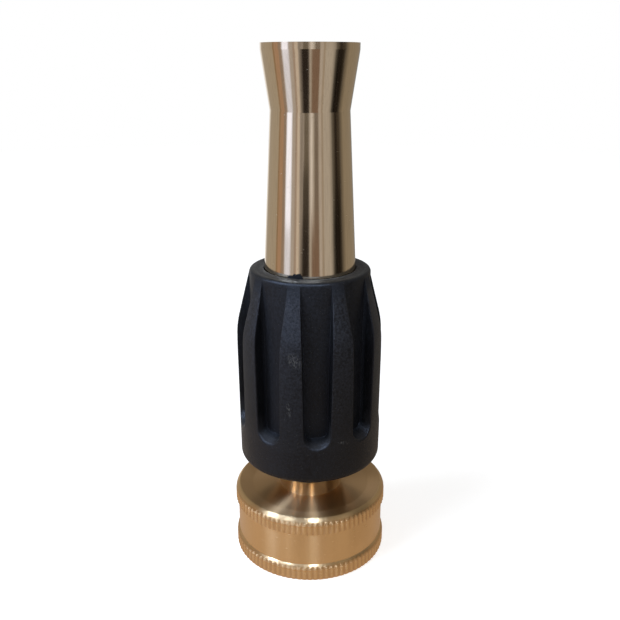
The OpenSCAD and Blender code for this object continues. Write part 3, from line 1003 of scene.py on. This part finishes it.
def floor_material():
    """Pale floor: mostly its own even light, with a faint shadow beside the nozzle. Clear from below."""
    material = bpy.data.materials.new("floor")
    material.use_nodes = True
    tree = material.node_tree
    shader = tree.nodes["Principled BSDF"]
    shader.inputs["Base Color"].default_value = (0.8, 0.8, 0.8, 1)
    shader.inputs["Roughness"].default_value = 0.9
    shader.inputs["Specular IOR Level"].default_value = 0.0
    shader.inputs["Emission Color"].default_value = (1, 1, 1, 1)
    shader.inputs["Emission Strength"].default_value = 0.75
    clear = tree.nodes.new("ShaderNodeBsdfTransparent")
    side = tree.nodes.new("ShaderNodeNewGeometry")
    mix = tree.nodes.new("ShaderNodeMixShader")
    tree.links.new(side.outputs["Backfacing"], mix.inputs[0])
    tree.links.new(shader.outputs[0], mix.inputs[1])
    tree.links.new(clear.outputs[0], mix.inputs[2])
    tree.links.new(mix.outputs[0], tree.nodes["Material Output"].inputs["Surface"])
    return material


def table_material():
    """What the brass sees of the table: warm, and a little darker to the right."""
    material = glowing("table_reflection", (1, 1, 1), 1.0)
    tree = material.node_tree
    place = tree.nodes.new("ShaderNodeTexCoord")
    split = tree.nodes.new("ShaderNodeSeparateXYZ")
    ramp = tree.nodes.new("ShaderNodeMapRange")
    ramp.inputs["From Min"].default_value = -0.035
    ramp.inputs["From Max"].default_value = 0.035
    mix = tree.nodes.new("ShaderNodeMix")
    mix.data_type = "RGBA"
    mix.inputs[6].default_value = (0.58, 0.47, 0.40, 1)
    mix.inputs[7].default_value = (0.44, 0.34, 0.26, 1)
    tree.links.new(place.outputs["Object"], split.inputs[0])
    tree.links.new(split.outputs[0], ramp.inputs["Value"])
    tree.links.new(ramp.outputs[0], mix.inputs["Factor"])
    tree.links.new(mix.outputs[2], tree.nodes["Emission"].inputs["Color"])
    return material


def build_room():
    """What the brass reflects: a pale room with a window to the left and a dark gap to the right."""
    room = Room(0.32)
    room.card("left_wall", -120, 70, (0.41, 0.375, 0.335), soft=3)
    room.card("bright_corner", -163, 30, (0.95, 0.95, 0.97), soft=12)
    room.card("front_wall_left", -35, 70, (0.45, 0.43, 0.45))
    room.card("front_wall_right", 30, 62, (0.46, 0.44, 0.44))
    room.card("right_wall", 122, 66, (0.29, 0.255, 0.21), soft=3)
    # from left to right, beside the window
    room.card("door_edge", -91, 5, (0.30, 0.20, 0.12), soft=3)
    room.card("door", -81, 15, (0.42, 0.285, 0.21), soft=3)
    room.card("door_shade", -72, 8, (0.31, 0.25, 0.22), soft=2)
    room.card("window_below", -57.5, 16, (0.80, 0.88, 1.20), soft=4)
    room.card("window", -58, 15, (1.15, 1.30, 1.85), 1.05, soft=4, low=0.035)
    room.card("brown_frame", -37, 5, (0.38, 0.31, 0.28), soft=3)
    room.card("pale_frame", -31, 7, (0.62, 0.57, 0.56), soft=2)
    room.card("grey_frame", -22, 8, (0.28, 0.26, 0.26), soft=4)
    # in the middle
    room.card("dim_flag", -9.5, 13, (0.16, 0.14, 0.12), soft=4)
    room.card("dark_flag", -10.5, 15, (0.07, 0.06, 0.05), soft=2, high=0.072, soft_top=0.01)
    room.card("black_flag", -12, 18, (0.025, 0.02, 0.018), soft=9, high=0.045, soft_top=0.025)
    room.card("bright_strip", 4, 6, (0.72, 0.71, 0.78), soft=3)
    room.card("brown_slit", 17, 11, (0.20, 0.17, 0.155), soft=3)
    room.card("brown_box", 12.5, 20, (0.21, 0.145, 0.115), soft=2, high=0.045, soft_top=0.02)
    room.card("dim_strip", 2.5, 4, (0.38, 0.35, 0.34), soft=3, high=0.045, soft_top=0.02)
    room.card("pale_slit", 27, 6, (0.48, 0.45, 0.46), soft=2)
    room.card("grey_slit", 33, 4, (0.35, 0.30, 0.26), soft=3)
    # to the right
    room.card("dusk", 77, 32, (0.055, 0.045, 0.035), soft=18)
    room.card("gap", 73, 20, (0.006, 0.005, 0.004), soft=12, high=0.055, soft_top=0.03)
    room.card("night", 74, 5, (0.02, 0.016, 0.014), soft=6)
    # above the room, for the upper edges of the coupling
    room.card("high_wall", -28, 100, (0.72, 0.86, 1.25), 1.2, low=0.14, high=0.40, soft=20, soft_top=0.06)
    room.card("high_window", -66, 7, (0.63, 0.84, 1.3), 62, low=0.19, high=0.33, soft=3, soft_top=0.02)
    room.card("high_pane", -37, 4, (0.63, 0.84, 1.3), 42, low=0.19, high=0.31, soft=3, soft_top=0.02)
    room.card("ceiling_lamp", 6.5, 8, (0.66, 0.84, 1.2), 50, low=0.19, high=0.33, soft=3, soft_top=0.02)


def build_stage():
    """A white floor and backdrop, the room that the brass reflects, and an even sky."""
    disc("floor", 0.8, -0.0001, floor_material(), ("camera", "shadow"))
    dome("backdrop", 1.2, glowing("backdrop", (1, 1, 1), 1.0), ("camera",))
    disc("table_reflection", 0.06, -0.0002, table_material(), ("glossy",))
    build_room()
    world = bpy.data.worlds.new("studio")
    bpy.context.scene.world = world
    world.use_nodes = True
    sky = world.node_tree.nodes["Background"]
    sky.inputs["Color"].default_value = (0.26, 0.255, 0.25, 1)
    sky.inputs["Strength"].default_value = 1.0
    world.cycles_visibility.camera = False


def soft_light(name, azimuth, elevation, distance, size, colour, watts):
    """A square soft light that faces the middle of the nozzle."""
    data = bpy.data.lights.new(name, "AREA")
    data.size = size
    data.color = colour
    data.energy = watts
    light = bpy.data.objects.new(name, data)
    a = math.radians(azimuth)
    e = math.radians(elevation)
    away = Vector((math.sin(a) * math.cos(e), -math.cos(a) * math.cos(e), math.sin(e)))
    light.location = Vector((0, 0, 0.05)) + away * distance
    light.rotation_euler = away.to_track_quat("Z", "Y").to_euler()
    light.visible_camera = False
    light.visible_glossy = False
    bpy.context.scene.collection.objects.link(light)


def build_camera():
    """The camera stands in front of the nozzle and looks a little down on it."""
    data = bpy.data.cameras.new("camera")
    data.sensor_width = 36
    data.lens = 43.2
    data.clip_start = 0.01
    data.clip_end = 10
    camera = bpy.data.objects.new("camera", data)
    camera.location = (0, -0.14265, 0.10129)
    camera.rotation_euler = (math.radians(90 - 18.68), 0, 0)
    bpy.context.scene.collection.objects.link(camera)
    bpy.context.scene.camera = camera


# ------------------------------------------------------------ the nozzle

def place(piece, body, node, slot, material):
    """Rides a piece on its body, in place of a CAD node, with its finish."""
    smooth(piece)
    piece.data.materials.clear()
    piece.data.materials.append(material)
    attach(piece, body)
    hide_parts(node)


seal = rubber("seal_rubber", (0.008, 0.008, 0.008), 0.3, 0.12)
flake = rubber("flake_rubber", (0.003, 0.004, 0.006), 0, 0.2)
place(build_stem(), "stem_body", "stem", "stem_brass", stem_brass())
place(build_barrel(), "barrel_body", "barrel", "barrel_brass", barrel_brass())
place(build_grip(), "barrel_body", "grip_sleeve", "grip_rubber", grip_rubber())
place(build_flake(), "barrel_body", "grip_sleeve", "grip_rubber", flake)
place(build_retaining_ring(), "ring_body", "retaining_ring", "ring_nylon", nylon())
place(build_washer(), "stem_body", "hose_washer", "seal_rubber", seal)
for ring in ("rear_o_ring", "front_o_ring", "shutoff_o_ring"):
    place(build_o_ring(ring), "stem_body", ring, "seal_rubber", seal)

build_stage()
soft_light("key", -62, 45, 0.7, 0.35, (0.80, 0.90, 1.0), 3.0)
soft_light("fill", 70, 20, 0.9, 0.4, (1.0, 0.95, 0.9), 0.2)
build_camera()
bpy.context.scene.view_settings.view_transform = "Standard"
